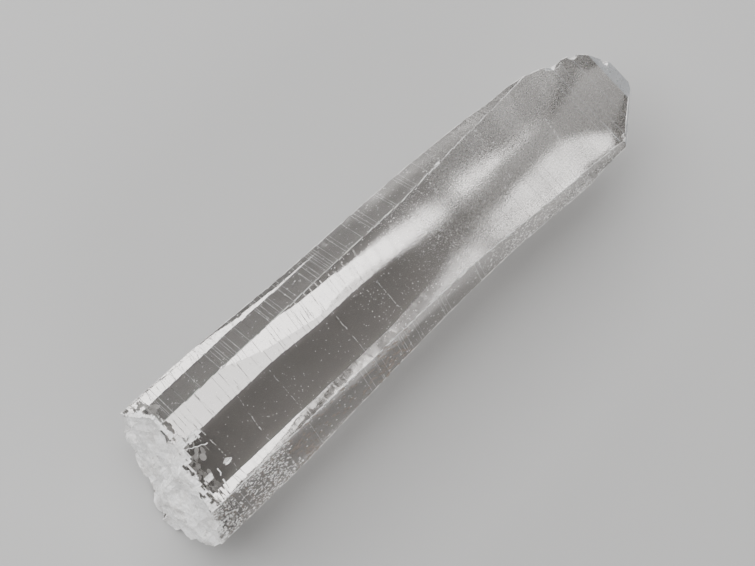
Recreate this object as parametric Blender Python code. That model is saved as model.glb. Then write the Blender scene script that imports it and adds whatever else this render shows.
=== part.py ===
"""A single lemurian quartz crystal, lying on one of its long faces.

The crystal is one solid. Its long axis runs along +X from the broken base to the tip, and +Z is up.
It is a six-sided prism whose faces carry the ladder of growth ledges that this quartz is known for.
Its lower side faces lean in towards the tip. Below each of them a narrower heel face runs down to the
floor face, and towards the tip a taper face takes over on the right. The base is a rough fracture.
"""

import math
import random

import bmesh
import bpy
from mathutils import Matrix, Vector, noise

MM = 0.001

# Driving dimensions, in millimetres. x runs from the base along the axis. An apothem is a face's
# distance from the axis at the base, and an inset is how far the face has moved in at a given x.
LENGTH = 96.0
FLOOR_APOTHEM = 12.2
TOP_APOTHEM = 9.8
LEFT_TOP_APOTHEM = 11.0
RIGHT_TOP_APOTHEM = 11.15
LEFT_LOW_APOTHEM = 10.6
LEFT_HEEL_APOTHEM = 10.24
RIGHT_LOW_APOTHEM = 11.21
RIGHT_HEEL_APOTHEM = 10.39
RIGHT_TAPER_APOTHEM = 13.0

# The way each long face looks, in degrees round the axis. 90 is straight up and 0 is +Y.
FLOOR_ANGLE = -90.0
TOP_ANGLE = 90.0
LEFT_TOP_ANGLE = 30.0
RIGHT_TOP_ANGLE = 150.0
LEFT_LOW_ANGLE = -30.0
LEFT_HEEL_ANGLE = -42.0
RIGHT_LOW_ANGLE = 192.0
RIGHT_HEEL_ANGLE = 205.0
RIGHT_TAPER_ANGLE = 225.0

# How each long face draws in towards the tip: (x, inset). Where the outline or a lower edge bends, so does
# the profile.
TOP_PROFILE = [(0, 0.0), (56.5, 0.0), (81.5, 3.0), (98, 6.0)]
LEFT_TOP_PROFILE = [(0, 0.0), (62, 0.1), (81, 0.6), (98, 0.9)]
RIGHT_TOP_PROFILE = [(0, -0.1), (30, 0.1), (78, 0.2), (98, 0.6)]
LEFT_LOW_PROFILE = [
    (0, 0.0), (10, 0.05), (20, 0.6), (30, 1.7), (36, 2.3), (44, 2.65), (52, 2.95), (60, 3.42),
    (68, 4.2), (73, 4.75), (76, 5.5), (80, 5.75), (83.5, 6.8), (98, 9.4),
]
LEFT_HEEL_PROFILE = [(0, 0.0), (28, 0.0), (36, 0.45), (98, 0.6)]
RIGHT_LOW_PROFILE = [
    (0, 0.03), (10, 0.13), (20, 0.31), (30, 1.08), (40, 1.79), (50, 2.43), (60, 2.69),
    (66, 2.59), (70, 2.28), (76, 1.82), (80, 1.56), (84, 2.01), (98, 2.35),
]
RIGHT_HEEL_PROFILE = [(0, 0.0), (44, 0.0), (50, 0.43), (56, 0.84), (60, 1.29), (64, 2.1), (98, 2.1)]
RIGHT_TAPER_PROFILE = [
    (0, 0.0), (50, 0.0), (60, 1.1), (64, 2.25), (68, 2.96), (72, 4.02), (76, 4.76), (80, 5.4),
    (84, 6.0), (98, 6.6),
]

# The underside is flat as far as this x, and from there to the tip it rises at this angle.
UNDERSIDE_RISE_FROM = 60.0
UNDERSIDE_RISE = 12.0

# Growth ledges: the mean spacing and height on each long face.
LEDGE_SPACING = 2.3
LEDGE_HEIGHT = 0.05
LADDER_SPACING = 1.9
LADDER_HEIGHT = 0.10

# The faces of the tip: the way each looks round the axis, and a point that it passes through. They lean
# this far from the long faces, as on every quartz crystal.
TIP_LEAN = 38.2
TIP_FACES = [
    (205.0, Vector((93.35, -5.6, 3.9))),
    (LEFT_LOW_ANGLE, Vector((93.1, 3.9, 4.4))),
    (TOP_ANGLE, Vector((93.1, 0.0, 4.7))),
    (FLOOR_ANGLE, Vector((88.0, 0.0, -3.0))),
    (RIGHT_TOP_ANGLE, Vector((92.6, -5.4, 4.8))),
]

# The fracture at the base: its lean back towards the top face, the shelf that crosses it, the height
# of its terraces, its relief and the spacing of the points that it is drawn with.
FRACTURE_LEAN = 0.26
FRACTURE_SHELF = 1.7
FRACTURE_TERRACE = 1.4
FRACTURE_RELIEF = 1.3
FRACTURE_STEP = 0.9
FRACTURE_REACH = 16.2
FRACTURE_NUDGE = 0.5

# Shell-shaped hollows in the fracture: y, z, radius and depth. A negative depth stands proud.
SCOOPS = [(6.0, 5.0, 5.0, 1.5), (-3.0, 2.0, 4.5, 1.3), (-6.5, -3.0, 5.0, -1.1), (3.5, -6.0, 4.0, -0.8)]

# The block that is cleaved is this much longer than the crystal, and this wide and high.
BLOCK_SPARE = 8.0
BLOCK_WIDTH = 40.0

CUTTER_REACH = 40.0
LEDGE_SEED = 7
FRACTURE_SEED = Vector((3.1, 5.7, 1.9))


def clear_scene():
    for thing in list(bpy.data.objects):
        bpy.data.objects.remove(thing, do_unlink=True)


def round_the_axis(angle):
    """The unit vector at this angle round the axis."""
    return Vector((0.0, math.cos(math.radians(angle)), math.sin(math.radians(angle))))


def leaning_normal(angle, lean):
    """The normal of a face of the tip, which leans towards +X."""
    return Vector((math.sin(math.radians(lean)), 0, 0)) + round_the_axis(angle) * math.cos(math.radians(lean))


def new_object(name, bm, holder):
    mesh = bpy.data.meshes.new(name)
    bmesh.ops.recalc_face_normals(bm, faces=bm.faces)
    bm.to_mesh(mesh)
    bm.free()
    made = bpy.data.objects.new(name, mesh)
    bpy.context.scene.collection.objects.link(made)
    made.parent = holder
    return made


def as_cutter(thing):
    thing.hide_render = True
    thing.display_type = "WIRE"
    return thing


def cut(thing, cutter):
    step = thing.modifiers.new("cut " + cutter.name, "BOOLEAN")
    step.operation = "DIFFERENCE"
    step.solver = "EXACT"
    step.object = cutter


def cleave(bm, point, normal):
    """Splits everything beyond a plane off a convex block and closes the new face."""
    geometry = bm.verts[:] + bm.edges[:] + bm.faces[:]
    bmesh.ops.bisect_plane(bm, geom=geometry, plane_co=point * MM, plane_no=normal, clear_outer=True)
    open_edges = [edge for edge in bm.edges if edge.is_boundary]
    bmesh.ops.holes_fill(bm, edges=open_edges)


def rough_block(holder):
    """The block that the long faces are cut from, with the floor face and the faces of the tip."""
    bm = bmesh.new()
    bmesh.ops.create_cube(bm, size=1.0)
    size = Vector((LENGTH + BLOCK_SPARE, BLOCK_WIDTH, BLOCK_WIDTH)) * MM
    bmesh.ops.transform(bm, matrix=Matrix.Diagonal((*size, 1.0)), verts=bm.verts)
    bmesh.ops.translate(bm, vec=Vector((LENGTH / 2 - 1, 0, 0)) * MM, verts=bm.verts)
    cleave(bm, Vector((0, 0, -FLOOR_APOTHEM)), round_the_axis(FLOOR_ANGLE))
    cleave(bm, Vector((UNDERSIDE_RISE_FROM, 0, -FLOOR_APOTHEM)), leaning_normal(FLOOR_ANGLE, UNDERSIDE_RISE))
    for angle, point in TIP_FACES:
        cleave(bm, point, leaning_normal(angle, TIP_LEAN))
    return new_object("crystal", bm, holder)


def inset_at(profile, x):
    """The inset at x, read off a face's profile."""
    for (x0, inset0), (x1, inset1) in zip(profile, profile[1:]):
        if x <= x1:
            return inset0 + (inset1 - inset0) * (x - x0) / (x1 - x0)
    return profile[-1][1]


def ledge_line(apothem, profile, spacing, height, dice):
    """A long face seen from its side, as (x, distance from the axis): ledge after ledge.

    Each ledge starts proud of the face and ends in a small drop, so that the face keeps its place.
    """
    points = []
    x = profile[0][0] - 6.0
    corners = [corner for corner, _ in profile]
    while x < profile[-1][0]:
        length = spacing * dice.uniform(0.45, 1.6)
        drop = height * dice.uniform(0.35, 1.5)
        end = min(x + length, profile[-1][0] + 4.0)
        start_at = apothem - inset_at(profile, max(x, 0)) - drop
        end_at = apothem - inset_at(profile, max(end, 0))
        points.append((x, start_at))
        points += [
            (corner, apothem - inset_at(profile, corner) - drop * (end - corner) / (end - x))
            for corner in corners
            if x + 0.2 < corner < end - 0.2
        ]
        points.append((end - 0.06, end_at))
        x = end
    return points


def long_face_cutter(name, angle, line, holder):
    """Everything outside one long face, as a bar whose inner side is the line of ledges."""
    out = round_the_axis(angle)
    across = Vector((1, 0, 0)).cross(out)
    outline = line + [(line[-1][0], CUTTER_REACH), (line[0][0], CUTTER_REACH)]
    bm = bmesh.new()
    near_end = [bm.verts.new((Vector((x, 0, 0)) + out * far - across * CUTTER_REACH) * MM) for x, far in outline]
    side = bm.faces.new(near_end)
    grown = bmesh.ops.extrude_face_region(bm, geom=[side])
    moved = [item for item in grown["geom"] if isinstance(item, bmesh.types.BMVert)]
    bmesh.ops.translate(bm, vec=across * 2 * CUTTER_REACH * MM, verts=moved)
    return as_cutter(new_object(name, bm, holder))


def scoop(y, z, centre_y, centre_z, radius, depth):
    """The depth of a shell-shaped hollow in the fracture."""
    away = math.hypot(y - centre_y, z - centre_z) / radius
    return depth * max(0.0, 1.0 - away * away)


def fracture_x(y, z):
    """Where the fracture lies at one place of the section: leaning, shelved, terraced, scooped and lumpy."""
    shelf_at = 0.3 + 1.6 * noise.noise(Vector((z * 0.25, 4.0, 0.0)))
    shelf = FRACTURE_SHELF / (1.0 + math.exp((shelf_at - y) * 3.0))
    lean = FRACTURE_LEAN * (z + FLOOR_APOTHEM) + 0.04 * y
    terraces = math.floor(lean / FRACTURE_TERRACE) * FRACTURE_TERRACE
    x = 0.5 * lean + 0.5 * terraces + shelf
    for hollow in SCOOPS:
        x += scoop(y, z, *hollow)
    place = Vector((y, z, 0)) * 0.28 + FRACTURE_SEED
    x += FRACTURE_RELIEF * 0.55 * noise.noise(place)
    x += FRACTURE_RELIEF * 0.45 * abs(noise.noise(place * 2.3))
    x += FRACTURE_RELIEF * 0.16 * noise.noise(place * 5.1)
    return x


def fracture_cutter(holder):
    """Everything behind the fracture, as a block whose front is the rough broken surface."""
    count = int(2 * FRACTURE_REACH / FRACTURE_STEP)
    bm = bmesh.new()
    rows = []
    for i in range(count + 1):
        y = -FRACTURE_REACH + 2 * FRACTURE_REACH * i / count
        rows.append([])
        for j in range(count + 1):
            z = -FRACTURE_REACH + 2 * FRACTURE_REACH * j / count
            nudge = Vector((noise.noise(Vector((y, z, 9.0))), noise.noise(Vector((y, z, -9.0)))))
            nudge *= FRACTURE_NUDGE
            place = Vector((fracture_x(y, z), y + nudge.x, z + nudge.y))
            rows[-1].append(bm.verts.new(place * MM))
    for near, far in zip(rows, rows[1:]):
        for j in range(count):
            bm.faces.new((near[j], near[j + 1], far[j + 1], far[j]))
    bmesh.ops.triangulate(bm, faces=bm.faces, quad_method="SHORT_EDGE")
    rim = [edge for edge in bm.edges if edge.is_boundary]
    grown = bmesh.ops.extrude_edge_only(bm, edges=rim)
    back = [item for item in grown["geom"] if isinstance(item, bmesh.types.BMVert)]
    for vert in back:
        vert.co.x = -12 * MM
    bmesh.ops.holes_fill(bm, edges=[edge for edge in bm.edges if edge.is_boundary])
    return as_cutter(new_object("fracture", bm, holder))


def chip_cutter(holder):
    """Small nicks along the ridges and round the tip, each the bite of a faceted pebble."""
    # x, y and z of the bite, its radius, and how far it is stretched along the axis
    bites = [
        (20.5, 7.20, 10.00, 0.55, 1.6),
        (31.6, 7.20, 10.05, 0.45, 2.2),
        (63.8, 7.70, 9.20, 0.75, 2.0),
        (74.1, 8.20, 8.10, 0.40, 1.8),
        (24.0, -7.40, 10.00, 0.50, 2.0),
        (44.6, -7.30, 10.10, 0.60, 2.4),
        (55.4, -7.30, 10.10, 0.80, 1.7),
        (66.0, -8.00, 9.00, 0.40, 2.6),
        (88.2, 6.70, 5.90, 1.25, 1.5),
        (91.3, 5.60, 5.00, 0.80, 1.4),
        (94.9, 1.50, 3.60, 0.75, 1.3),
        (88.3, -8.80, 5.20, 0.60, 1.6),
        (11.6, -3.40, 10.05, 0.55, 1.9),
        (10.0, 2.60, 10.10, 0.70, 1.5),
        (12.5, 12.70, 0.40, 0.70, 2.2),
        (40.0, 11.40, 2.50, 0.50, 3.0),
        (36.0, -11.00, 3.20, 0.60, 2.6),
        (70.0, -10.50, 4.40, 0.55, 3.0),
    ]
    bm = bmesh.new()
    for x, y, z, radius, stretch in bites:
        turn = Matrix.Rotation(x * 1.7, 4, "X") @ Matrix.Rotation(y, 4, "Y")
        shape = Matrix.Translation(Vector((x, y, z)) * MM) @ Matrix.Diagonal((stretch, 1, 1, 1)) @ turn
        bmesh.ops.create_icosphere(bm, subdivisions=1, radius=radius * MM, matrix=shape)
    return as_cutter(new_object("chips", bm, holder))


def quartz():
    material = bpy.data.materials.new("quartz")
    material.use_nodes = True
    shader = material.node_tree.nodes["Principled BSDF"]
    shader.inputs["Base Color"].default_value = (0.93, 0.92, 0.91, 1)
    shader.inputs["Roughness"].default_value = 0.18
    shader.inputs["Metallic"].default_value = 0.0
    shader.inputs["IOR"].default_value = 1.544
    shader.inputs["Transmission Weight"].default_value = 1.0
    material.diffuse_color = (0.80, 0.80, 0.82, 1)
    return material


def stand_at_origin(crystal, holder):
    """Moves everything so that the floor face is at z = 0 and the middle of the crystal is over the origin."""
    bpy.context.view_layer.update()
    shown = crystal.evaluated_get(bpy.context.evaluated_depsgraph_get())
    places = [shown.matrix_world @ vert.co for vert in shown.data.vertices]
    lowest = Vector(min(place[i] for place in places) for i in range(3))
    highest = Vector(max(place[i] for place in places) for i in range(3))
    middle = (lowest + highest) / 2
    holder.location = (-middle.x, -middle.y, FLOOR_APOTHEM * MM)
    bpy.context.view_layer.update()


def main():
    clear_scene()
    holder = bpy.data.objects.new("crystal_axis", None)
    bpy.context.scene.collection.objects.link(holder)
    crystal = rough_block(holder)
    crystal.data.materials.append(quartz())
    dice = random.Random(LEDGE_SEED)
    long_faces = [
        ("top_face", TOP_ANGLE, TOP_APOTHEM, TOP_PROFILE, LEDGE_SPACING, LEDGE_HEIGHT),
        ("left_top_face", LEFT_TOP_ANGLE, LEFT_TOP_APOTHEM, LEFT_TOP_PROFILE, LADDER_SPACING, LADDER_HEIGHT),
        ("right_top_face", RIGHT_TOP_ANGLE, RIGHT_TOP_APOTHEM, RIGHT_TOP_PROFILE, LADDER_SPACING, LADDER_HEIGHT),
        ("left_low_face", LEFT_LOW_ANGLE, LEFT_LOW_APOTHEM, LEFT_LOW_PROFILE, LADDER_SPACING, LEDGE_HEIGHT),
        ("left_heel", LEFT_HEEL_ANGLE, LEFT_HEEL_APOTHEM, LEFT_HEEL_PROFILE, LADDER_SPACING, LEDGE_HEIGHT),
        ("right_low_face", RIGHT_LOW_ANGLE, RIGHT_LOW_APOTHEM, RIGHT_LOW_PROFILE, LADDER_SPACING, LEDGE_HEIGHT),
        ("right_heel", RIGHT_HEEL_ANGLE, RIGHT_HEEL_APOTHEM, RIGHT_HEEL_PROFILE, LADDER_SPACING, LEDGE_HEIGHT),
        ("right_taper", RIGHT_TAPER_ANGLE, RIGHT_TAPER_APOTHEM, RIGHT_TAPER_PROFILE, LADDER_SPACING, LEDGE_HEIGHT),
    ]
    for name, angle, apothem, profile, spacing, height in long_faces:
        line = ledge_line(apothem, profile, spacing, height, dice)
        cut(crystal, long_face_cutter(name, angle, line, holder))
    cut(crystal, fracture_cutter(holder))
    cut(crystal, chip_cutter(holder))
    stand_at_origin(crystal, holder)


main()
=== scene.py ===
import math
import random

import bmesh
import bpy
from mathutils import Matrix, Vector, noise
from mathutils.bvhtree import BVHTree


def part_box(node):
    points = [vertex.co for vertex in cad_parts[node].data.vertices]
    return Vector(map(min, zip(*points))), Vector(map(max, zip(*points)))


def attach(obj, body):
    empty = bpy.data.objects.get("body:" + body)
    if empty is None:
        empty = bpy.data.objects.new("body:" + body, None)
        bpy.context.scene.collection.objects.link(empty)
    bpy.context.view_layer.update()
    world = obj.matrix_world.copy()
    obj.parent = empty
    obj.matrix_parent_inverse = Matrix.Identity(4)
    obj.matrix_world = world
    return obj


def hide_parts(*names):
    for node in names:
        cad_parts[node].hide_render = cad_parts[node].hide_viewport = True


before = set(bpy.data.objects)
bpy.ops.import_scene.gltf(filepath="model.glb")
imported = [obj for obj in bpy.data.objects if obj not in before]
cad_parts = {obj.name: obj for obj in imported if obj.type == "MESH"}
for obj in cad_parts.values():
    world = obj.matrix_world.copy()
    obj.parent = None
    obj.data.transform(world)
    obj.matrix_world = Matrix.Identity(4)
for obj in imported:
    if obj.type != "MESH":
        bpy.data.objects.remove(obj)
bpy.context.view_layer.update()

mm = 0.001
scene = bpy.context.scene

# The crystal's own measures, all read from the frame: base at low x, tip at high x, floor at z = 0.
lowCorner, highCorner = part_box("crystal")
baseX = lowCorner.x
tipX = highCorner.x
topZ = highCorner.z


def fromBase(distance):
    # a place along the axis, given as millimetres from the base
    return baseX + distance * mm


# small helpers for node trees

def addNode(tree, kind, at=(0, 0), **settings):
    node = tree.nodes.new(kind)
    node.location = at
    for key, value in settings.items():
        setattr(node, key, value)
    return node


def feed(tree, node, given):
    # a plain number is set on its socket, and anything else is linked to it
    for socket, value in given.items():
        if isinstance(value, (int, float)):
            node.inputs[socket].default_value = value
        else:
            tree.links.new(value, node.inputs[socket])


def mathNode(tree, operation, *values, at=(0, 0), clamp=False):
    node = addNode(tree, "ShaderNodeMath", at, operation=operation, use_clamp=clamp)
    feed(tree, node, dict(enumerate(values)))
    return node.outputs[0]


def mapRange(tree, value, fromLow, fromHigh, toLow=0.0, toHigh=1.0, smooth=False, at=(0, 0)):
    node = addNode(tree, "ShaderNodeMapRange", at)
    node.interpolation_type = "SMOOTHSTEP" if smooth else "LINEAR"
    limits = {"From Min": fromLow, "From Max": fromHigh, "To Min": toLow, "To Max": toHigh}
    feed(tree, node, {"Value": value, **limits})
    return node.outputs["Result"]


def noiseNode(tree, vector, scale, detail=2.0, roughness=0.5, at=(0, 0)):
    node = addNode(tree, "ShaderNodeTexNoise", at)
    feed(tree, node, {"Vector": vector, "Scale": scale, "Detail": detail, "Roughness": roughness})
    return node.outputs["Fac"]


def newGroup(name, kind, inputs, outputs):
    group = bpy.data.node_groups.new(name, kind)
    for label, socket in inputs.items():
        group.interface.new_socket(label, in_out="INPUT", socket_type="NodeSocket" + socket)
    for label, socket in outputs.items():
        group.interface.new_socket(label, in_out="OUTPUT", socket_type="NodeSocket" + socket)
    start = addNode(group, "NodeGroupInput", (-900, 0))
    end = addNode(group, "NodeGroupOutput", (900, 0))
    return group, start.outputs, end.inputs


# copies of the frame's solid, merged and with their flat faces whole again

sameSpot = 1e-6                  # m, points closer than this are one
flatWithin = 0.002               # radians


def mergedCopy():
    bm = bmesh.new()
    bm.from_mesh(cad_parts["crystal"].data)
    bmesh.ops.remove_doubles(bm, verts=bm.verts, dist=sameSpot)
    bmesh.ops.dissolve_limit(bm, angle_limit=flatWithin, verts=bm.verts, edges=bm.edges)
    return bm


def toMesh(bm, name):
    mesh = bpy.data.meshes.new(name)
    bm.to_mesh(mesh)
    bm.free()
    return mesh


def mergedSolid():
    return toMesh(mergedCopy(), "mergedSolid")


# the crystal's skin: such a copy, cut finer

skin = {
    "sliceShortest": 0.22,       # mm along the axis between two growth lines
    "sliceLongest": 0.60,
    "endMargin": 0.3,            # mm at each end that stays unsliced
    "acrossStep": 1.3,           # mm between the cuts along the crystal
    "topLooks": 0.9,             # the top face looks upwards more than this
    "upperLooks": 0.3,           # and an upper side face more than this
    "frostOn": (1.0, 0.8, 0.25),   # frost on the top face, on an upper side face and on the rest
    "linesOn": (0.3, 1.0, 0.0),  # growth lines on the same; the lower faces stay flat
    "lineDepth": 0.011,          # mm
    "lineScale": 2600.0,
    "lineStretch": (1.0, 0.05, 0.05),   # the lines change quickly along the crystal and slowly across it
    "lineGain": -2.0,            # below nought, so that the lines are cut inwards
    "patchScale": 160.0,         # the lines come and go in patches
    "patchSpan": (0.42, 0.60, 0.15, 1.0),   # from and to in the noise, then the faintest and the fullest
    "shrink": 0.0025,            # leaves room for the grains, and keeps every face's slope
    "facetsFrom": 86.0,          # mm from the base to the small facets round the tip
    "facetsUp": 0.2,             # such a facet looks upwards more than this
    "seed": 11,
}

fracture = {
    "reach": 13.0,               # mm from the base in which an end face can be broken
    "faceAngles": (90, 30, 150, -30, -42, 192, 205, 225, -90),   # degrees, which way the long faces look
    "onFace": 0.978,             # a face that keeps less closely than this to all of them is broken
    "endLooks": 0.45,            # an end face looks along the crystal more than this
    "tipLooks": 0.3,             # a face of the tip looks forwards more than this
    "depth": 0.24,               # mm
    "scale": 800.0,
    "crestAt": 0.5,              # where in the noise the sharp crests lie
    "gain": 6.0,                 # as the noise stays near its middle
    "cutLongerThan": 0.35,       # mm, an edge in the break is cut once more
    "windowScale": 300.0,        # glassy windows in the white break: how small
    "windowBelow": -0.40,        # and how rare
    "windowReach": 6.0,          # mm under the top face, as the photograph shows them only there
}

crushedRim = {
    "spreadTop": 2.4,            # mm, how far the rim runs on over the top face
    "spreadSide": 1.6,           # and over the upper side faces
    "cutWithin": 1.3,            # times the spread: the faces in which the rim is cut finer
    "cutLongerThan": 0.2,        # mm
    "cuts": 2,
    "evenShare": 0.55,           # of the spread, and the noise adds to it or takes from it
    "unevenShare": 0.9,
    "unevenScale": 420.0,
    "islandScale": 1300.0,       # glassy islands in the rim: how small
    "islandBelow": -0.22,        # and how rare
}


def isBroken(face):
    # the fracture at the base, and the chips along the ridges
    looks = face.normal
    pastReach = face.calc_center_median().x > fromBase(fracture["reach"])
    if pastReach and abs(looks.x) > fracture["endLooks"]:
        return False
    if looks.x > fracture["tipLooks"]:
        return False
    if looks.x < -fracture["endLooks"]:
        return True
    best = max(
        looks.y * math.cos(math.radians(angle)) + looks.z * math.sin(math.radians(angle))
        for angle in fracture["faceAngles"]
    )
    return best < fracture["onFace"] * math.hypot(looks.y, looks.z)


def isTipFacet(face):
    looks = face.normal
    nearTip = face.calc_center_median().x > fromBase(skin["facetsFrom"])
    return nearTip and looks.x > fracture["tipLooks"] and looks.z > skin["facetsUp"]


def byFace(upwards, values):
    # one of three values: for the top face, for an upper side face or for any other
    if upwards > skin["topLooks"]:
        return values[0]
    if upwards > skin["upperLooks"]:
        return values[1]
    return values[2]


def lineWeight(vert):
    # a point between two faces takes the weight of the one that looks upwards less
    return byFace(min((face.normal.z for face in vert.link_faces), default=0.0), skin["linesOn"])


def sliceAll(bm, places, direction):
    for place in places:
        geometry = bm.verts[:] + bm.edges[:] + bm.faces[:]
        spot = direction * place
        bmesh.ops.bisect_plane(bm, geom=geometry, dist=sameSpot, plane_co=spot, plane_no=direction)


def crushRim(bm, broken):
    # the faces next to the break are crushed too, up to an uneven line, with glassy islands left in between
    limit = fromBase(fracture["reach"])
    rim = []
    for vert in bm.verts:
        brokenFaces = sum(1 for face in vert.link_faces if face[broken])
        if 0 < brokenFaces < len(vert.link_faces) and vert.co.x < limit:
            rim.append(vert.co.copy())

    def pastRim(place):
        nearest = min(rim, key=lambda spot: abs(spot.y - place.y) + abs(spot.z - place.z))
        return place.x - nearest.x

    cutReach = crushedRim["spreadTop"] * mm * crushedRim["cutWithin"]
    near = []
    for face in bm.faces:
        centre = face.calc_center_median()
        if not face[broken] and face.normal.z > skin["upperLooks"] and centre.x < limit:
            if pastRim(centre) < cutReach:
                near.append(face)
    shortest = crushedRim["cutLongerThan"] * mm
    edges = list({edge for face in near for edge in face.edges if edge.calc_length() > shortest})
    bmesh.ops.subdivide_edges(bm, edges=edges, cuts=crushedRim["cuts"], use_grid_fill=True)
    for face in bm.faces:
        centre = face.calc_center_median()
        if face[broken] or face.normal.z < skin["upperLooks"] or centre.x > limit:
            continue
        spread = crushedRim["spreadTop"] if face.normal.z > skin["topLooks"] else crushedRim["spreadSide"]
        wave = noise.noise(Vector((0.0, centre.y, centre.z)) * crushedRim["unevenScale"])
        uneven = crushedRim["evenShare"] + crushedRim["unevenShare"] * wave
        isIsland = noise.noise(centre * crushedRim["islandScale"]) <= crushedRim["islandBelow"]
        if pastRim(centre) < spread * uneven * mm and not isIsland:
            face[broken] = True


def openWindows(bm, broken):
    # glassy windows in the white break
    for face in bm.faces:
        centre = face.calc_center_median()
        if face[broken] and centre.z > topZ - fracture["windowReach"] * mm:
            face[broken] = noise.noise(centre * fracture["windowScale"]) >= fracture["windowBelow"]


def slicePlaces(dice):
    places = []
    margin = skin["endMargin"] * mm
    x = baseX + margin
    while x < tipX - margin:
        places.append(x)
        x += dice.uniform(skin["sliceShortest"], skin["sliceLongest"]) * mm
    return places


def evenPlaces(low, high, step):
    count = int((high - low) / step)
    return [low + step * (i + 0.5) for i in range(count)]


def makeSkinMesh():
    bm = mergedCopy()
    broken = bm.faces.layers.bool.new("brokenFace")
    frost = bm.faces.layers.float.new("frostShare")
    pale = bm.faces.layers.bool.new("paleFacet")
    for face in bm.faces:
        face[broken] = isBroken(face)
        face[frost] = byFace(face.normal.z, skin["frostOn"])
        face[pale] = isTipFacet(face)
    step = skin["acrossStep"] * mm
    sliceAll(bm, evenPlaces(lowCorner.y, highCorner.y, step), Vector((0, 1, 0)))
    sliceAll(bm, evenPlaces(lowCorner.z, highCorner.z, step), Vector((0, 0, 1)))
    sliceAll(bm, slicePlaces(random.Random(skin["seed"])), Vector((1, 0, 0)))
    crushRim(bm, broken)
    openWindows(bm, broken)
    roughEdges = [edge for edge in bm.edges if edge.link_faces and all(f[broken] for f in edge.link_faces)]
    roughEdges = [edge for edge in roughEdges if edge.calc_length() > fracture["cutLongerThan"] * mm]
    bmesh.ops.subdivide_edges(bm, edges=roughEdges, cuts=1, use_grid_fill=True)
    inside = bm.verts.layers.float.new("breakWeight")
    lines = bm.verts.layers.float.new("lineWeight")
    for vert in bm.verts:
        vert[lines] = lineWeight(vert)
        if vert.link_faces:
            vert[inside] = float(all(face[broken] for face in vert.link_faces))
    bmesh.ops.triangulate(bm, faces=[face for face in bm.faces if len(face.verts) > 4])
    for face in bm.faces:
        face.smooth = False
    bmesh.ops.scale(bm, vec=Vector((1, 1, 1)) * (1 - skin["shrink"]), verts=bm.verts)
    return toMesh(bm, "quartzPoint")


floorGap = 0.00002               # m, what lies lower than this is the face that the crystal rests on


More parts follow.
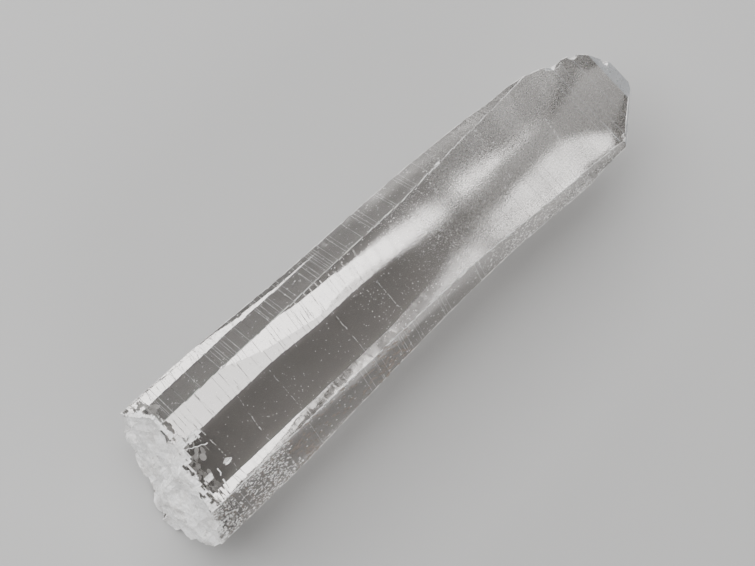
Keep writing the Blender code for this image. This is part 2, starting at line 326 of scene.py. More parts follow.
def growthTree():
    # moves the sliced skin in and out in fine growth lines, and breaks up the fracture
    tree, start, end = newGroup(
        "growthSkin",
        "GeometryNodeTree",
        {
            "Geometry": "Geometry",
            "Line Depth": "Float",
            "Line Scale": "Float",
            "Break Depth": "Float",
            "Break Scale": "Float",
            "Clear Quartz": "Material",
            "Broken Quartz": "Material",
            "Pale Facet": "Material",
        },
        {"Geometry": "Geometry"},
    )
    place = addNode(tree, "GeometryNodeInputPosition", (-900, -300)).outputs[0]
    normal = addNode(tree, "GeometryNodeInputNormal", (-900, -420))
    parts = addNode(tree, "ShaderNodeSeparateXYZ", (-700, -300))
    tree.links.new(place, parts.inputs[0])
    # growth lines
    stretched = addNode(tree, "ShaderNodeVectorMath", (-700, -120), operation="MULTIPLY")
    stretched.inputs[1].default_value = skin["lineStretch"]
    tree.links.new(place, stretched.inputs[0])
    stretched = stretched.outputs[0]
    lines = noiseNode(tree, stretched, start["Line Scale"], detail=3.0, roughness=0.7, at=(-500, -120))
    patches = noiseNode(tree, place, skin["patchScale"], detail=1.0, roughness=0.5, at=(-500, -300))
    patches = mapRange(tree, patches, *skin["patchSpan"], smooth=True, at=(-300, -300))
    share = addNode(tree, "GeometryNodeInputNamedAttribute", (-300, -20), data_type="FLOAT")
    share.inputs["Name"].default_value = "lineWeight"
    lineHeight = mathNode(tree, "MULTIPLY", lines, patches, at=(-120, -120))
    lineHeight = mathNode(tree, "MULTIPLY", lineHeight, start["Line Depth"], at=(40, -120))
    lineHeight = mathNode(tree, "MULTIPLY", lineHeight, share.outputs[0], at=(200, -120))
    lineHeight = mathNode(tree, "MULTIPLY", lineHeight, skin["lineGain"], at=(320, -120))
    # the fracture: sharp crested lumps
    weight = addNode(tree, "GeometryNodeInputNamedAttribute", (-700, -560), data_type="FLOAT")
    weight.inputs["Name"].default_value = "breakWeight"
    lumps = noiseNode(tree, place, start["Break Scale"], detail=3.0, roughness=0.6, at=(-500, -560))
    crests = mathNode(tree, "SUBTRACT", lumps, fracture["crestAt"], at=(-300, -560))
    crests = mathNode(tree, "ABSOLUTE", crests, at=(-120, -560))
    crests = mathNode(tree, "MULTIPLY", crests, weight.outputs[0], at=(40, -560))
    crests = mathNode(tree, "MULTIPLY", crests, start["Break Depth"], at=(200, -560))
    crests = mathNode(tree, "MULTIPLY", crests, fracture["gain"], at=(360, -560))
    height = mathNode(tree, "SUBTRACT", lineHeight, crests, at=(420, -300))
    offset = addNode(tree, "ShaderNodeVectorMath", (560, -300), operation="SCALE")
    tree.links.new(normal.outputs[0], offset.inputs[0])
    tree.links.new(height, offset.inputs["Scale"])
    # the floor face stays flat
    above = addNode(tree, "FunctionNodeCompare", (300, 160), data_type="FLOAT", operation="GREATER_THAN")
    above.inputs[1].default_value = floorGap
    tree.links.new(parts.outputs[2], above.inputs[0])
    move = addNode(tree, "GeometryNodeSetPosition", (560, 60))
    tree.links.new(start["Geometry"], move.inputs["Geometry"])
    tree.links.new(above.outputs[0], move.inputs["Selection"])
    tree.links.new(offset.outputs[0], move.inputs["Offset"])
    real = addNode(tree, "GeometryNodeRealizeInstances", (720, 60))
    tree.links.new(move.outputs[0], real.inputs[0])
    clear = addNode(tree, "GeometryNodeSetMaterial", (880, 60))
    tree.links.new(real.outputs[0], clear.inputs["Geometry"])
    tree.links.new(start["Clear Quartz"], clear.inputs["Material"])
    isRough = addNode(tree, "GeometryNodeInputNamedAttribute", (880, -140), data_type="BOOLEAN")
    isRough.inputs["Name"].default_value = "brokenFace"
    rough = addNode(tree, "GeometryNodeSetMaterial", (1040, 60))
    tree.links.new(clear.outputs[0], rough.inputs["Geometry"])
    tree.links.new(isRough.outputs[0], rough.inputs["Selection"])
    tree.links.new(start["Broken Quartz"], rough.inputs["Material"])
    isPale = addNode(tree, "GeometryNodeInputNamedAttribute", (1040, -140), data_type="BOOLEAN")
    isPale.inputs["Name"].default_value = "paleFacet"
    facets = addNode(tree, "GeometryNodeSetMaterial", (1200, 60))
    tree.links.new(rough.outputs[0], facets.inputs["Geometry"])
    tree.links.new(isPale.outputs[0], facets.inputs["Selection"])
    tree.links.new(start["Pale Facet"], facets.inputs["Material"])
    tree.links.new(facets.outputs[0], end["Geometry"])
    return tree


def applyTree(piece, tree, values):
    # sets the tree's inputs by their identifiers, turns the result into a plain mesh and drops the modifier
    step = piece.modifiers.new(tree.name, "NODES")
    step.node_group = tree
    for item in tree.interface.items_tree:
        if item.item_type == "SOCKET" and item.in_out == "INPUT" and item.name in values:
            step[item.identifier] = values[item.name]
    bpy.context.view_layer.update()
    shown = piece.evaluated_get(bpy.context.evaluated_depsgraph_get())
    mesh = bpy.data.meshes.new_from_object(shown)
    piece.modifiers.clear()
    piece.data = mesh
    return piece


def linkPiece(name, mesh):
    piece = bpy.data.objects.new(name, mesh)
    scene.collection.objects.link(piece)
    return piece


# finishes

quartzIor = 1.544

quartzLook = {
    "tint": (0.60, 0.58, 0.563, 1.0),
    "clearRoughness": 0.02,
    "frostRoughness": 0.31,
    "frostFrom": 39.0,           # mm from the base where the frost begins
    "frostTo": 68.0,             # and where it is full
    "frostPatchScale": 110.0,
    "frostGrainScale": 3800.0,
    "speckleSpan": (0.45, 0.75, 0.8, 1.5),   # from and to in the grain, then times the roughness
    "lineScale": 3000.0,
    "linePatchScale": 120.0,
    "lineShare": 0.5,            # how much of the bump is growth lines
    "bumpHeight": 0.012,         # mm
    "grainShare": 5.0,           # how much deeper the frost's grain is than the growth lines
    "absorption": (0.80, 0.79, 0.78, 1.0),
    "absorptionDensity": 9.0,
}

brokenLook = {
    "light": (0.99, 0.985, 0.98, 1.0),
    "dark": (0.80, 0.78, 0.76, 1.0),
    "patchScale": 420.0,
    "grainScale": 2400.0,
    "transmission": 0.06,
    "roughness": 0.30,
    "roughnessSpan": (0.6, 1.3),   # times the roughness, from the fine grain's low spots to its high ones
    "bumpHeight": 0.07,          # mm
}

# the small facets round the tip: paler and duller than the long faces
facetLook = {
    "light": (0.74, 0.77, 0.81, 1.0),
    "dark": (0.66, 0.69, 0.73, 1.0),
    "patchScale": 420.0,
    "grainScale": 2400.0,
    "transmission": 0.72,
    "roughness": 0.36,
    "roughnessSpan": (0.6, 1.3),
    "bumpHeight": 0.004,         # mm
}


def growthLineGroup():
    # fine lines across the crystal, as on every long face
    lineStretch = (1.0, 0.035, 0.035)   # quick change along the crystal, slow change across it
    patchSpan = (0.44, 0.62, 0.1, 1.0)   # from and to in the noise, then the faintest and the fullest
    group, start, end = newGroup(
        "growthLines",
        "ShaderNodeTree",
        {"Vector": "Vector", "Line Scale": "Float", "Patch Scale": "Float"},
        {"Height": "Float"},
    )
    vector = start["Vector"]
    stretched = addNode(group, "ShaderNodeVectorMath", (-650, 0), operation="MULTIPLY")
    stretched.inputs[1].default_value = lineStretch
    group.links.new(vector, stretched.inputs[0])
    stretched = stretched.outputs[0]
    lines = noiseNode(group, stretched, start["Line Scale"], detail=2.0, roughness=0.6, at=(-450, 0))
    patches = noiseNode(group, vector, start["Patch Scale"], detail=2.0, roughness=0.5, at=(-450, -250))
    patches = mapRange(group, patches, *patchSpan, smooth=True, at=(-200, -250))
    group.links.new(mathNode(group, "MULTIPLY", lines, patches, at=(200, 0)), end["Height"])
    return group


def frostGroup():
    # how frosted the surface is, and its fine grain: more towards the tip, in soft patches
    patchSpan = (0.35, 0.65, 0.7, 1.15)
    group, start, end = newGroup(
        "frost",
        "ShaderNodeTree",
        {
            "Vector": "Vector",
            "From X": "Float",
            "To X": "Float",
            "Patch Scale": "Float",
            "Grain Scale": "Float",
        },
        {"Mask": "Float", "Grain": "Float"},
    )
    vector = start["Vector"]
    parts = addNode(group, "ShaderNodeSeparateXYZ", (-700, 0))
    group.links.new(vector, parts.inputs[0])
    along = mapRange(group, parts.outputs[0], start["From X"], start["To X"], smooth=True, at=(-480, 0))
    patches = noiseNode(group, vector, start["Patch Scale"], detail=2.0, roughness=0.5, at=(-480, -260))
    patches = mapRange(group, patches, *patchSpan, at=(-260, -260))
    mask = mathNode(group, "MULTIPLY", along, patches, at=(0, 0), clamp=True)
    grain = noiseNode(group, vector, start["Grain Scale"], detail=2.0, roughness=0.7, at=(-260, -500))
    group.links.new(mask, end["Mask"])
    group.links.new(grain, end["Grain"])
    return group


def mottleGroup():
    # soft light and dark patches with a finer grain, for every white or stained mineral surface
    patchSpan = (0.35, 0.55)
    group, start, end = newGroup(
        "mottle",
        "ShaderNodeTree",
        {
            "Vector": "Vector",
            "Patch Scale": "Float",
            "Grain Scale": "Float",
            "Light": "Color",
            "Dark": "Color",
        },
        {"Color": "Color", "Grain": "Float"},
    )
    vector = start["Vector"]
    patches = noiseNode(group, vector, start["Patch Scale"], detail=3.0, roughness=0.6, at=(-600, 200))
    grain = noiseNode(group, vector, start["Grain Scale"], detail=3.0, roughness=0.65, at=(-600, -100))
    mix = addNode(group, "ShaderNodeMix", (0, 200), data_type="RGBA")
    # inputs 6 and 7 and output 2 are the node's colour sockets
    group.links.new(mapRange(group, patches, *patchSpan, at=(-300, 200)), mix.inputs[0])
    group.links.new(start["Dark"], mix.inputs[6])
    group.links.new(start["Light"], mix.inputs[7])
    group.links.new(mix.outputs[2], end["Color"])
    group.links.new(grain, end["Grain"])
    return group


lineEffect = growthLineGroup()
frostEffect = frostGroup()
mottleEffect = mottleGroup()


def newMaterial(name):
    material = bpy.data.materials.new(name)
    material.use_nodes = True
    tree = material.node_tree
    return material, tree, tree.nodes["Principled BSDF"]


def placeGroup(tree, group, values, at=(0, 0)):
    # every group reads the place on the object itself
    coords = addNode(tree, "ShaderNodeTexCoord", (at[0] - 300, at[1]))
    node = addNode(tree, "ShaderNodeGroup", at, node_tree=group)
    tree.links.new(coords.outputs["Object"], node.inputs["Vector"])
    for label, value in values.items():
        node.inputs[label].default_value = value
    return node.outputs


def addBump(tree, shader, height, distance, at=(0, 0)):
    node = addNode(tree, "ShaderNodeBump", at)
    feed(tree, node, {"Strength": 1.0, "Distance": distance, "Height": height})
    tree.links.new(node.outputs["Normal"], shader.inputs["Normal"])


def clearQuartzMaterial():
    look = quartzLook
    material, tree, shader = newMaterial("clearQuartz")
    lineValues = {"Line Scale": look["lineScale"], "Patch Scale": look["linePatchScale"]}
    line = placeGroup(tree, lineEffect, lineValues, (-1000, 200))
    fogValues = {
        "From X": fromBase(look["frostFrom"]),
        "To X": fromBase(look["frostTo"]),
        "Patch Scale": look["frostPatchScale"],
        "Grain Scale": look["frostGrainScale"],
    }
    fog = placeGroup(tree, frostEffect, fogValues, (-1000, -100))
    share = addNode(tree, "ShaderNodeAttribute", (-1000, -400), attribute_name="frostShare")
    fogHere = mathNode(tree, "MULTIPLY", fog["Mask"], share.outputs["Fac"], at=(-850, -250))
    roughnesses = (look["clearRoughness"], look["frostRoughness"])
    roughness = mapRange(tree, fogHere, 0.0, 1.0, *roughnesses, at=(-700, -100))
    speckle = mapRange(tree, fog["Grain"], *look["speckleSpan"], at=(-700, -350))
    roughness = mathNode(tree, "MULTIPLY", roughness, speckle, at=(-450, -100))
    grainHeight = mathNode(tree, "MULTIPLY", fog["Grain"], fogHere, at=(-700, 50))
    grainHeight = mathNode(tree, "MULTIPLY", grainHeight, look["grainShare"], at=(-580, 50))
    height = mathNode(tree, "MULTIPLY_ADD", line["Height"], look["lineShare"], grainHeight, at=(-450, 200))
    tree.links.new(roughness, shader.inputs["Roughness"])
    addBump(tree, shader, height, look["bumpHeight"] * mm, (-250, 200))
    shader.inputs["Base Color"].default_value = look["tint"]
    shader.inputs["IOR"].default_value = quartzIor
    shader.inputs["Transmission Weight"].default_value = 1.0
    depth = addNode(tree, "ShaderNodeVolumeAbsorption", (50, -300))
    depth.inputs["Color"].default_value = look["absorption"]
    depth.inputs["Density"].default_value = look["absorptionDensity"]
    tree.links.new(depth.outputs[0], tree.nodes["Material Output"].inputs["Volume"])
    return material


def placeMottle(tree, look, at=(0, 0)):
    values = {"Light": look["light"], "Dark": look["dark"]}
    values.update({"Patch Scale": look["patchScale"], "Grain Scale": look["grainScale"]})
    return placeGroup(tree, mottleEffect, values, at)


def roughQuartzMaterial(name, look):
    grainSpan = (0.3, 0.7)
    material, tree, shader = newMaterial(name)
    body = placeMottle(tree, look, (-1000, 100))
    tree.links.new(body["Color"], shader.inputs["Base Color"])
    roughnesses = [look["roughness"] * times for times in look["roughnessSpan"]]
    roughness = mapRange(tree, body["Grain"], *grainSpan, *roughnesses, at=(-750, -100))
    tree.links.new(roughness, shader.inputs["Roughness"])
    addBump(tree, shader, body["Grain"], look["bumpHeight"] * mm, (-400, -200))
    shader.inputs["IOR"].default_value = quartzIor
    shader.inputs["Transmission Weight"].default_value = look["transmission"]
    return material


point = linkPiece("quartzPoint", makeSkinMesh())
applyTree(
    point,
    growthTree(),
    {
        "Line Depth": skin["lineDepth"] * mm,
        "Line Scale": skin["lineScale"],
        "Break Depth": fracture["depth"] * mm,
        "Break Scale": fracture["scale"],
        "Clear Quartz": clearQuartzMaterial(),
        "Broken Quartz": roughQuartzMaterial("brokenQuartz", brokenLook),
        "Pale Facet": roughQuartzMaterial("paleFacet", facetLook),
    },
)
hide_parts("crystal")
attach(point, "root")
print("crystal skin made,", len(point.data.polygons), "faces")


# small things on and in the crystal: worn ridges, frost grains that are partly painted glints, the rough
# patch, flaws by the base

ridgeWear = {
    "radius": 0.048,             # mm, half the width of the pale line along a ridge
    "step": 0.35,                # mm
    "patchScale": 520.0,
    "thinnest": 0.15,            # of the radius
    "sharperThan": 0.30,         # radians between the two faces
    "lengthwise": 0.7,           # a ridge runs along the crystal more than this
    "above": 0.6,                # mm over the floor, as lower ridges stay plain
    "inwards": 0.0055,           # how far the line is pulled in, as a share of the distance from the axis
    "endwards": 0.0020,          # the same along the crystal
}

ladder = {
    "radius": 0.013,             # mm
    "step": 0.30,                # mm
    "patchScale": 800.0,
    "thinnest": 0.3,             # of the radius
    "from": 7.0,                 # mm from the base
    "to": 80.0,
    "slant": 0.15,               # a rung runs along the crystal no more than this
    "facesUp": (0.35, 0.65),     # it lies on faces that look upwards between these
    "facesEnd": 0.2,             # and that look along the crystal less than this
    "leftShare": 0.42,           # how many of the slices carry a rung
    "rightShare": 0.22,
    "sliceWidth": 0.02,          # mm
    "gapScale": 330.0,           # gaps in the rungs
    "gapBelow": -0.12,
    "inwards": 0.0035,
    "endwards": 0.0020,
}

# small mineral bits: a pale or brown body with a slight mottle and its own fine grain, its height in mm
bitLooks = {
    "wornEdge": {
        "light": (0.95, 0.94, 0.93, 1.0), "dark": (0.78, 0.76, 0.74, 1.0),
        "roughness": 0.45, "patchScale": 3000.0, "grainScale": 6000.0, "grainHeight": 0.02,
    },
    # pale body for grains and flaws; on the frosted top face these white bits are partly frost grit and
    # partly painted glints off its micro-pits
    "paleGrainAndGlint": {
        "light": (0.97, 0.96, 0.95, 1.0), "dark": (0.84, 0.83, 0.81, 1.0),
        "roughness": 0.4, "patchScale": 4000.0, "grainScale": 8000.0, "grainHeight": 0.01,
    },
    "brownStain": {
        "light": (0.27, 0.225, 0.19, 1.0), "dark": (0.15, 0.125, 0.105, 1.0),
        "roughness": 0.6, "patchScale": 4000.0, "grainScale": 8000.0, "grainHeight": 0.01,
    },
    "crackWhite": {
        "light": (0.98, 0.98, 0.97, 1.0), "dark": (0.9, 0.89, 0.88, 1.0),
        "roughness": 0.35, "patchScale": 3000.0, "grainScale": 6000.0, "grainHeight": 0.02,
    },
}

# reach is mm from the base; looks is which way the faces look, and closely how closely; perArea is grains
# per square mm; size is the smallest and the largest half width in mm; stretch and flatness are a grain's
# length and thickness for a width of one
topFace = (0.0, 0.0, 1.0)
leftFace = (0.0, 0.87, 0.5)
rightFace = (0.0, -0.87, 0.5)
brokenBase = (-1.0, 0.0, 0.0)
grainFields = {
    # white specks on the frosted top face: partly frost grit, partly painted glints off the frost's
    # micro-pits
    "frostGrainsAndGlints": {
        "reach": (42.0, 74.0), "looks": topFace, "closely": 0.90, "perArea": 2.6, "size": (0.03, 0.08),
        "stretch": 1.0, "flatness": 0.20, "patchScale": 640.0, "seed": 3,
    },
    "clearGrains": {
        "reach": (8.0, 48.0), "looks": topFace, "closely": 0.96, "perArea": 1.3, "size": (0.02, 0.06),
        "stretch": 1.2, "flatness": 0.25, "patchScale": 400.0, "seed": 5,
    },
    "leftGrains": {
        "reach": (6.0, 80.0), "looks": leftFace, "closely": 0.97, "perArea": 0.9, "size": (0.03, 0.07),
        "stretch": 2.2, "flatness": 0.35, "patchScale": 300.0, "seed": 8,
    },
    "roughPatch": {
        "reach": (3.0, 21.0), "looks": rightFace, "closely": 0.97, "perArea": 11.0, "size": (0.07, 0.15),
        "stretch": 1.7, "flatness": 0.5, "patchScale": 420.0, "seed": 13,
    },
    "roughPatchStains": {
        "reach": (5.0, 20.5), "looks": rightFace, "closely": 0.97, "perArea": 6.0, "size": (0.06, 0.13),
        "stretch": 1.7, "flatness": 0.5, "patchScale": 420.0, "seed": 17,
    },
    "sideStains": {
        "reach": (20.0, 45.0), "looks": rightFace, "closely": 0.97, "perArea": 2.4, "size": (0.08, 0.24),
        "stretch": 2.0, "flatness": 0.10, "patchScale": 170.0, "seed": 37,
    },
    "rimGrains": {
        "reach": (60.0, 87.0), "looks": rightFace, "closely": 0.90, "perArea": 6.0, "size": (0.05, 0.13),
        "stretch": 1.6, "flatness": 0.45, "patchScale": 380.0, "seed": 31,
    },
    "rightGrains": {
        "reach": (22.0, 90.0), "looks": rightFace, "closely": 0.96, "perArea": 1.4, "size": (0.03, 0.09),
        "stretch": 2.0, "flatness": 0.4, "patchScale": 300.0, "seed": 19,
    },
    # flaws inside the crystal: deepest is mm behind the break, and inwards pulls them in from the sides
    "baseVeils": {
        "reach": (-1.0, 7.0), "looks": brokenBase, "closely": 0.35, "perArea": 2.2, "size": (0.20, 0.75),
        "stretch": 1.0, "flatness": 0.05, "patchScale": 330.0, "seed": 23, "deepest": 4.5, "inwards": 0.06,
    },
}


def lineTree():
    # follows the chosen edges of a mesh with a thin, uneven pale line
    patchSpan = (0.34, 0.70)
    widest = 1.9                 # times the radius
    sides = 4
    tree, start, end = newGroup(
        "paleLines",
        "GeometryNodeTree",
        {
            "Geometry": "Geometry",
            "Radius": "Float",
            "Step": "Float",
            "Patch Scale": "Float",
            "Thinnest": "Float",
            "Material": "Material",
        },
        {"Geometry": "Geometry"},
    )
    chosen = addNode(tree, "GeometryNodeInputNamedAttribute", (-600, -200), data_type="BOOLEAN")
    chosen.inputs["Name"].default_value = "lineEdge"
    lines = addNode(tree, "GeometryNodeMeshToCurve", (-400, 0))
    tree.links.new(start["Geometry"], lines.inputs["Mesh"])
    tree.links.new(chosen.outputs[0], lines.inputs["Selection"])
    even = addNode(tree, "GeometryNodeResampleCurve", (-200, 0))
    even.mode = "LENGTH"
    tree.links.new(lines.outputs[0], even.inputs["Curve"])
    tree.links.new(start["Step"], even.inputs["Length"])
    place = addNode(tree, "GeometryNodeInputPosition", (-600, -420)).outputs[0]
    patches = noiseNode(tree, place, start["Patch Scale"], detail=3.0, roughness=0.7, at=(-400, -420))
    width = mapRange(tree, patches, *patchSpan, start["Thinnest"], widest, at=(-200, -420))
    size = mathNode(tree, "MULTIPLY", width, start["Radius"], at=(0, -420))
    ring = addNode(tree, "GeometryNodeCurvePrimitiveCircle", (0, 200))
    ring.inputs["Resolution"].default_value = sides
    ring.inputs["Radius"].default_value = 1.0
    tube = addNode(tree, "GeometryNodeCurveToMesh", (200, 0))
    tree.links.new(even.outputs[0], tube.inputs["Curve"])
    tree.links.new(size, tube.inputs["Scale"])
    tree.links.new(ring.outputs["Curve"], tube.inputs["Profile Curve"])
    tube.inputs["Fill Caps"].default_value = True
    real = addNode(tree, "GeometryNodeRealizeInstances", (400, 0))
    tree.links.new(tube.outputs[0], real.inputs[0])
    finish = addNode(tree, "GeometryNodeSetMaterial", (600, 0))
    tree.links.new(real.outputs[0], finish.inputs["Geometry"])
    tree.links.new(start["Material"], finish.inputs["Material"])
    tree.links.new(finish.outputs[0], end["Geometry"])
    return tree


def isRidge(edge):
    if len(edge.link_faces) != 2:
        return False
    along = (edge.verts[0].co - edge.verts[1].co).normalized()
    raised = min(vert.co.z for vert in edge.verts) > ridgeWear["above"] * mm
    sharp = edge.calc_face_angle(0.0) > ridgeWear["sharperThan"]
    return raised and sharp and abs(along.x) > ridgeWear["lengthwise"]


def isRung(edge):
    # one rung of the growth ladder: across the crystal, on the upper side faces, in broken stretches
    along = (edge.verts[0].co - edge.verts[1].co).normalized()
    middle = (edge.verts[0].co + edge.verts[1].co) / 2
    if abs(along.x) > ladder["slant"] or not fromBase(ladder["from"]) < middle.x < fromBase(ladder["to"]):
        return False
    low, high = ladder["facesUp"]
    for face in edge.link_faces:
        if not low < face.normal.z < high or abs(face.normal.x) >= ladder["facesEnd"]:
            return False
    share = ladder["leftShare"] if middle.y > 0 else ladder["rightShare"]
    sliceDice = random.Random(round(middle.x / (ladder["sliceWidth"] * mm)))
    return sliceDice.random() < share and noise.noise(middle * ladder["gapScale"]) > ladder["gapBelow"]


def lineMesh(name, chooses, places=()):
    bm = bmesh.new()
    bm.from_mesh(mergedSolid())
    sliceAll(bm, places, Vector((1, 0, 0)))
    layer = bm.edges.layers.bool.new("lineEdge")
    for edge in bm.edges:
        edge[layer] = bool(edge.link_faces) and chooses(edge)
    return toMesh(bm, name)


def grainTree():
    # scatters small flat stones over the faces that look one way, between two places along the crystal
    patchSpan = (0.40, 0.62, 0.12, 1.0)
    tree, start, end = newGroup(
        "scatteredGrains",
        "GeometryNodeTree",
        {
            "Geometry": "Geometry",
            "From X": "Float",
            "To X": "Float",
            "Looks": "Vector",
            "Closely": "Float",
            "Density": "Float",
            "Smallest": "Float",
            "Largest": "Float",
            "Shape": "Vector",
            "Patch Scale": "Float",
            "Shallowest": "Float",
            "Deepest": "Float",
            "Seed": "Int",
            "Material": "Material",
        },
        {"Geometry": "Geometry"},
    )
    place = addNode(tree, "GeometryNodeInputPosition", (-900, -200)).outputs[0]
    parts = addNode(tree, "ShaderNodeSeparateXYZ", (-740, -200))
    tree.links.new(place, parts.inputs[0])
    after = mathNode(tree, "GREATER_THAN", parts.outputs[0], start["From X"], at=(-560, -120))
    before = mathNode(tree, "LESS_THAN", parts.outputs[0], start["To X"], at=(-560, -260))
    normal = addNode(tree, "GeometryNodeInputNormal", (-900, -420))
    facing = addNode(tree, "ShaderNodeVectorMath", (-740, -420), operation="DOT_PRODUCT")
    tree.links.new(normal.outputs[0], facing.inputs[0])
    tree.links.new(start["Looks"], facing.inputs[1])
    right = mathNode(tree, "GREATER_THAN", facing.outputs["Value"], start["Closely"], at=(-560, -420))
    inside = mathNode(tree, "MULTIPLY", after, before, at=(-400, -200))
    inside = mathNode(tree, "MULTIPLY", inside, right, at=(-260, -200))
    patches = noiseNode(tree, place, start["Patch Scale"], detail=2.0, roughness=0.6, at=(-560, -620))
    patches = mapRange(tree, patches, *patchSpan, smooth=True, at=(-400, -620))
    density = mathNode(tree, "MULTIPLY", inside, patches, at=(-120, -300))
    density = mathNode(tree, "MULTIPLY", density, start["Density"], at=(0, -300))
    points = addNode(tree, "GeometryNodeDistributePointsOnFaces", (140, 0))
    tree.links.new(start["Geometry"], points.inputs["Mesh"])
    tree.links.new(density, points.inputs["Density"])
    tree.links.new(start["Seed"], points.inputs["Seed"])
    stone = addNode(tree, "GeometryNodeMeshIcoSphere", (140, 260))
    stone.inputs["Radius"].default_value = 1.0
    stone.inputs["Subdivisions"].default_value = 1
    size = addNode(tree, "FunctionNodeRandomValue", (140, -260), data_type="FLOAT")
    tree.links.new(start["Smallest"], size.inputs[2])
    tree.links.new(start["Largest"], size.inputs[3])
    tree.links.new(start["Seed"], size.inputs["Seed"])
    shape = addNode(tree, "ShaderNodeVectorMath", (300, -260), operation="SCALE")
    tree.links.new(start["Shape"], shape.inputs[0])
    tree.links.new(size.outputs[1], shape.inputs["Scale"])
    # grains are sunk into the surface, and flaws lie deeper inside
    depth = addNode(tree, "FunctionNodeRandomValue", (140, -520), data_type="FLOAT")
    tree.links.new(start["Shallowest"], depth.inputs[2])
    tree.links.new(start["Deepest"], depth.inputs[3])
    tree.links.new(start["Seed"], depth.inputs["Seed"])
    inwards = addNode(tree, "ShaderNodeVectorMath", (300, -520), operation="SCALE")
    tree.links.new(start["Looks"], inwards.inputs[0])
    backwards = mathNode(tree, "MULTIPLY", depth.outputs[1], -1.0, at=(220, -640))
    tree.links.new(backwards, inwards.inputs["Scale"])
    sunk = addNode(tree, "GeometryNodeSetPosition", (300, 0))
    tree.links.new(points.outputs["Points"], sunk.inputs["Geometry"])
    tree.links.new(inwards.outputs[0], sunk.inputs["Offset"])
    copies = addNode(tree, "GeometryNodeInstanceOnPoints", (460, 0))
    tree.links.new(sunk.outputs[0], copies.inputs["Points"])
    tree.links.new(stone.outputs["Mesh"], copies.inputs["Instance"])
    tree.links.new(points.outputs["Rotation"], copies.inputs["Rotation"])
    tree.links.new(shape.outputs[0], copies.inputs["Scale"])
    real = addNode(tree, "GeometryNodeRealizeInstances", (620, 0))
    tree.links.new(copies.outputs[0], real.inputs[0])
    finish = addNode(tree, "GeometryNodeSetMaterial", (780, 0))
    tree.links.new(real.outputs[0], finish.inputs["Geometry"])
    tree.links.new(start["Material"], finish.inputs["Material"])
    tree.links.new(finish.outputs[0], end["Geometry"])
    return tree


def pullInwards(piece, share, endShare=0.0):
    # keeps a thin piece within the solid's own box
    middle = Vector((0, (lowCorner.y + highCorner.y) / 2, topZ / 2))
    for vert in piece.data.vertices:
        vert.co.x *= 1 - endShare
        vert.co.y = middle.y + (vert.co.y - middle.y) * (1 - share)
        vert.co.z = middle.z + (vert.co.z - middle.z) * (1 - share)


def bitMaterial(name):
    look = bitLooks[name]
    material, tree, shader = newMaterial(name)
    body = placeMottle(tree, look, (-600, 0))
    tree.links.new(body["Color"], shader.inputs["Base Color"])
    addBump(tree, shader, body["Grain"], look["grainHeight"] * mm, (-300, -200))
    shader.inputs["Roughness"].default_value = look["roughness"]
    shader.inputs["IOR"].default_value = quartzIor
    return material


def keepPiece(piece):
    # nothing sticks out of the solid's own box
    for vert in piece.data.vertices:
        for axis in range(3):
            vert.co[axis] = min(max(vert.co[axis], lowCorner[axis]), highCorner[axis])
    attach(piece, "root")
    print(piece.name, "made,", len(piece.data.polygons), "faces")


def makeLines():
    wornEdge = bitMaterial("wornEdge")
    tree = lineTree()
    rungPlaces = slicePlaces(random.Random(skin["seed"] + 1))
    meshes = {
        "wornRidges": (lineMesh("wornRidges", isRidge), ridgeWear),
        "ladderLines": (lineMesh("ladderLines", isRung, rungPlaces), ladder),
    }
    for name, (mesh, look) in meshes.items():
        piece = linkPiece(name, mesh)
        applyTree(
            piece,
            tree,
            {
                "Radius": look["radius"] * mm,
                "Step": look["step"] * mm,
                "Patch Scale": look["patchScale"],
                "Thinnest": look["thinnest"],
                "Material": wornEdge,
            },
        )
        pullInwards(piece, look["inwards"], look["endwards"])
        keepPiece(piece)


def makeGrains():
    tree = grainTree()
    # the pale body also serves as painted glints on the frost grains
    pale = bitMaterial("paleGrainAndGlint")
    stain = bitMaterial("brownStain")
    perSquareMm = 1e6            # square mm in a square metre
    for name, field in grainFields.items():
        smallest, largest = field["size"]
        halfThick = largest * field["flatness"]
        piece = linkPiece(name, mergedSolid())
        applyTree(
            piece,
            tree,
            {
                "From X": fromBase(field["reach"][0]),
                "To X": fromBase(field["reach"][1]),
                "Looks": field["looks"],
                "Closely": field["closely"],
                "Density": field["perArea"] * perSquareMm,
                "Smallest": smallest * mm,
                "Largest": largest * mm,
                "Shape": (field["stretch"], 1.0, field["flatness"]),
                "Patch Scale": field["patchScale"],
                "Shallowest": halfThick * mm,
                "Deepest": max(field.get("deepest", 0.0), halfThick) * mm,
                "Seed": field["seed"],
                "Material": stain if name.endswith("Stains") else pale,
            },
        )
        if "inwards" in field:
            pullInwards(piece, field["inwards"])
        keepPiece(piece)


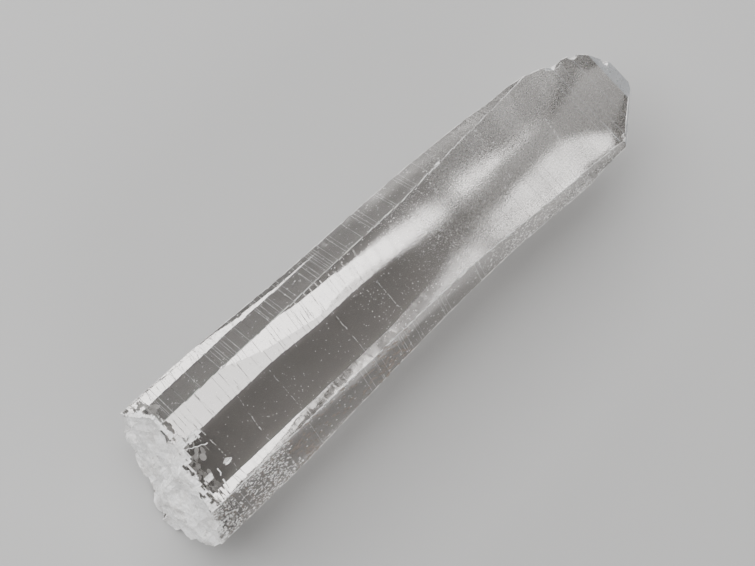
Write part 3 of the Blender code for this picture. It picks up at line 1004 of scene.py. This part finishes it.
cracks = {
    "pointGap": 0.3,             # mm between the points of a line
    "sideJag": 0.6,              # the jag across the crystal, as a share of the jag along it
    "narrowest": 0.35,           # of the half width
    "sunk": 0.02,                # mm under the face
    "thick": 0.06,               # mm
    "dashedBelow": 0.07,         # mm of jag: a finer line than this comes and goes
    "gapShare": 0.4,             # how much of such a line is left out
    "axisSide": -0.316,          # mm, how far the crystal's own axis lies from the middle of its box
    "seed": 29,
    # fine cracks and nicks just under the top faces, read off the photograph: each point is mm from the base
    # and to the side of the crystal's own axis, then come the half width and the jag between the points
    "lines": [
        (((9.4, 1.9), (10.8, 1.2), (12.4, 0.4)), 0.07, 0.22),
        (((10.9, -3.2), (10.7, -4.2)), 0.16, 0.18),
        (((10.5, -4.8), (10.4, -5.6)), 0.13, 0.15),
        (((13.7, 6.8), (13.8, 3.7)), 0.035, 0.05),
        (((20.2, 6.3), (20.2, 2.7)), 0.035, 0.05),
        (((22.3, 2.9), (22.9, 2.75)), 0.11, 0.08),
        (((81.8, 1.3), (81.2, -2.7)), 0.04, 0.06),
        (((20.1, 2.4), (19.4, -2.0), (19.0, -6.2)), 0.028, 0.06),
        (((12.9, 3.3), (13.1, -4.8)), 0.028, 0.05),
        (((26.0, 2.6), (25.6, -5.5)), 0.020, 0.05),
        (((31.5, 6.0), (31.2, 1.8)), 0.020, 0.04),
        (((38.4, 2.0), (38.0, -5.6)), 0.022, 0.05),
        (((46.2, 1.5), (46.0, -5.0)), 0.022, 0.05),
        (((7.4, 9.4), (7.9, 9.2)), 0.12, 0.08),
        (((4.5, 3.2), (6.1, 2.2), (7.4, 0.2), (7.8, -2.2)), 0.09, 0.35),
        (((5.6, -1.2), (6.6, -3.4), (6.2, -5.0)), 0.08, 0.30),
    ],
}


def crackSpots(line):
    # evenly spaced points along a line, in mm
    spots = []
    for (fromX, fromY), (toX, toY) in zip(line, line[1:]):
        steps = max(2, int(math.hypot(toX - fromX, toY - fromY) / cracks["pointGap"]))
        for i in range(steps):
            share = i / steps
            spots.append((fromX + (toX - fromX) * share, fromY + (toY - fromY) * share))
    spots.append(line[-1])
    return spots


def crackRail(surface, dice, line, halfWidth, jag):
    # jagged points just under the face, each with the face's normal and a half width
    rail = []
    for x, y in crackSpots(line):
        x += dice.uniform(-jag, jag)
        y += dice.uniform(-jag, jag) * cracks["sideJag"]
        above = Vector((fromBase(x), (y + cracks["axisSide"]) * mm, topZ + 10 * mm))
        place, normal, _, _ = surface.ray_cast(above, Vector((0, 0, -1)))
        if place is None:
            continue
        wide = halfWidth * dice.uniform(cracks["narrowest"], 1.0) * mm
        rail.append((place - normal * cracks["sunk"] * mm, normal, wide))
    return rail


def addFlake(bm, start, end):
    # one flat stretch of a crack, between two points of its rail
    a, normal, wideA = start
    b, _, wideB = end
    across = (b - a).cross(normal).normalized()
    if across.length < 0.5:      # the two points are one
        return
    corners = (a - across * wideA, a + across * wideA, b + across * wideB, b - across * wideB)
    top = [bm.verts.new(corner) for corner in corners]
    foot = [bm.verts.new(vert.co - normal * cracks["thick"] * mm) for vert in top]
    bm.faces.new(top)
    bm.faces.new(foot[::-1])
    for i in range(4):
        j = (i + 1) % 4
        bm.faces.new((top[i], foot[i], foot[j], top[j]))


def makeCracks():
    dice = random.Random(cracks["seed"])
    solid = bmesh.new()
    solid.from_mesh(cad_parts["crystal"].data)
    surface = BVHTree.FromBMesh(solid)
    solid.free()
    bm = bmesh.new()
    for line, halfWidth, jag in cracks["lines"]:
        rail = crackRail(surface, dice, line, halfWidth, jag)
        for start, end in zip(rail, rail[1:]):
            if jag < cracks["dashedBelow"] and dice.random() < cracks["gapShare"]:
                continue
            addFlake(bm, start, end)
    bmesh.ops.recalc_face_normals(bm, faces=bm.faces)
    mesh = toMesh(bm, "fineCracks")
    mesh.materials.append(bitMaterial("crackWhite"))
    keepPiece(linkPiece("fineCracks", mesh))


makeLines()
makeGrains()
makeCracks()

# pale floor, soft boxes and the camera

studio = {
    "floorSize": 3.0,            # m
    "floorDrop": 0.3,            # mm, a hair's breadth under the crystal
    "floorColour": (0.50, 0.497, 0.493, 1.0),
    "floorRoughness": 0.9,
    "worldStrength": 0.2,
    # degrees round the crystal and upwards, then m away, wide and high, then watts
    "boxes": {
        "overheadBox": (90, 60, 0.6, 0.8, 0.5, 6.0),
        "nearBox": (-95, 21, 0.8, 1.2, 0.5, 4.8),
        "farBox": (90, 18, 0.8, 1.2, 0.4, 4.5),
    },
}

photoView = {
    "lens": 100.0,               # mm
    "distance": 0.315,           # m from the point aimed at
    "roll": 43.1,                # degrees between the picture's foot and the crystal's axis
    "tilt": 8.0,                 # degrees from straight above, towards the base
    "aim": (-0.655, 0.234, 11.8),  # mm, the point at the middle of the picture
}


def makeFloor():
    half = studio["floorSize"] / 2
    low = -studio["floorDrop"] * mm
    corners = [(-half, -half, low), (half, -half, low), (half, half, low), (-half, half, low)]
    mesh = bpy.data.meshes.new("floor")
    mesh.from_pydata(corners, [], [(0, 1, 2, 3)])
    material, _, shader = newMaterial("paleFloor")
    shader.inputs["Base Color"].default_value = studio["floorColour"]
    shader.inputs["Roughness"].default_value = studio["floorRoughness"]
    mesh.materials.append(material)
    linkPiece("floor", mesh)


def makeSoftBox(name, turn, lift, distance, width, height, watts):
    light = bpy.data.lights.new(name, "AREA")
    light.shape = "RECTANGLE"
    light.size = width
    light.size_y = height
    light.energy = watts
    box = linkPiece(name, light)
    turn = math.radians(turn)
    lift = math.radians(lift)
    out = Vector((math.cos(turn) * math.cos(lift), math.sin(turn) * math.cos(lift), math.sin(lift)))
    box.location = out * distance
    box.rotation_euler = (-out).to_track_quat("-Z", "Y").to_euler()


def makeCamera():
    view = photoView
    lens = bpy.data.cameras.new("photoView")
    lens.lens = view["lens"]
    camera = linkPiece("photoView", lens)
    roll = math.radians(view["roll"])
    tilt = math.radians(view["tilt"])
    back = Vector((-math.sin(tilt), 0, math.cos(tilt)))
    axis = Vector((math.cos(tilt), 0, math.sin(tilt)))
    side = Vector((0, 1, 0))
    right = axis * math.cos(roll) - side * math.sin(roll)
    up = axis * math.sin(roll) + side * math.cos(roll)
    pose = Matrix((right, up, back)).transposed().to_4x4()
    pose.translation = Vector(view["aim"]) * mm + back * view["distance"]
    camera.matrix_world = pose
    scene.camera = camera


makeFloor()
for name, box in studio["boxes"].items():
    makeSoftBox(name, *box)
scene.world = bpy.data.worlds.new("studio")
scene.world.use_nodes = True
background = scene.world.node_tree.nodes["Background"]
background.inputs["Color"].default_value = (1.0, 1.0, 1.0, 1.0)
background.inputs["Strength"].default_value = studio["worldStrength"]
# light that runs round inside the crystal many times still gets out
scene.cycles.max_bounces = 20
scene.cycles.glossy_bounces = 14
scene.cycles.transmission_bounces = 14
makeCamera()
print("studio set")
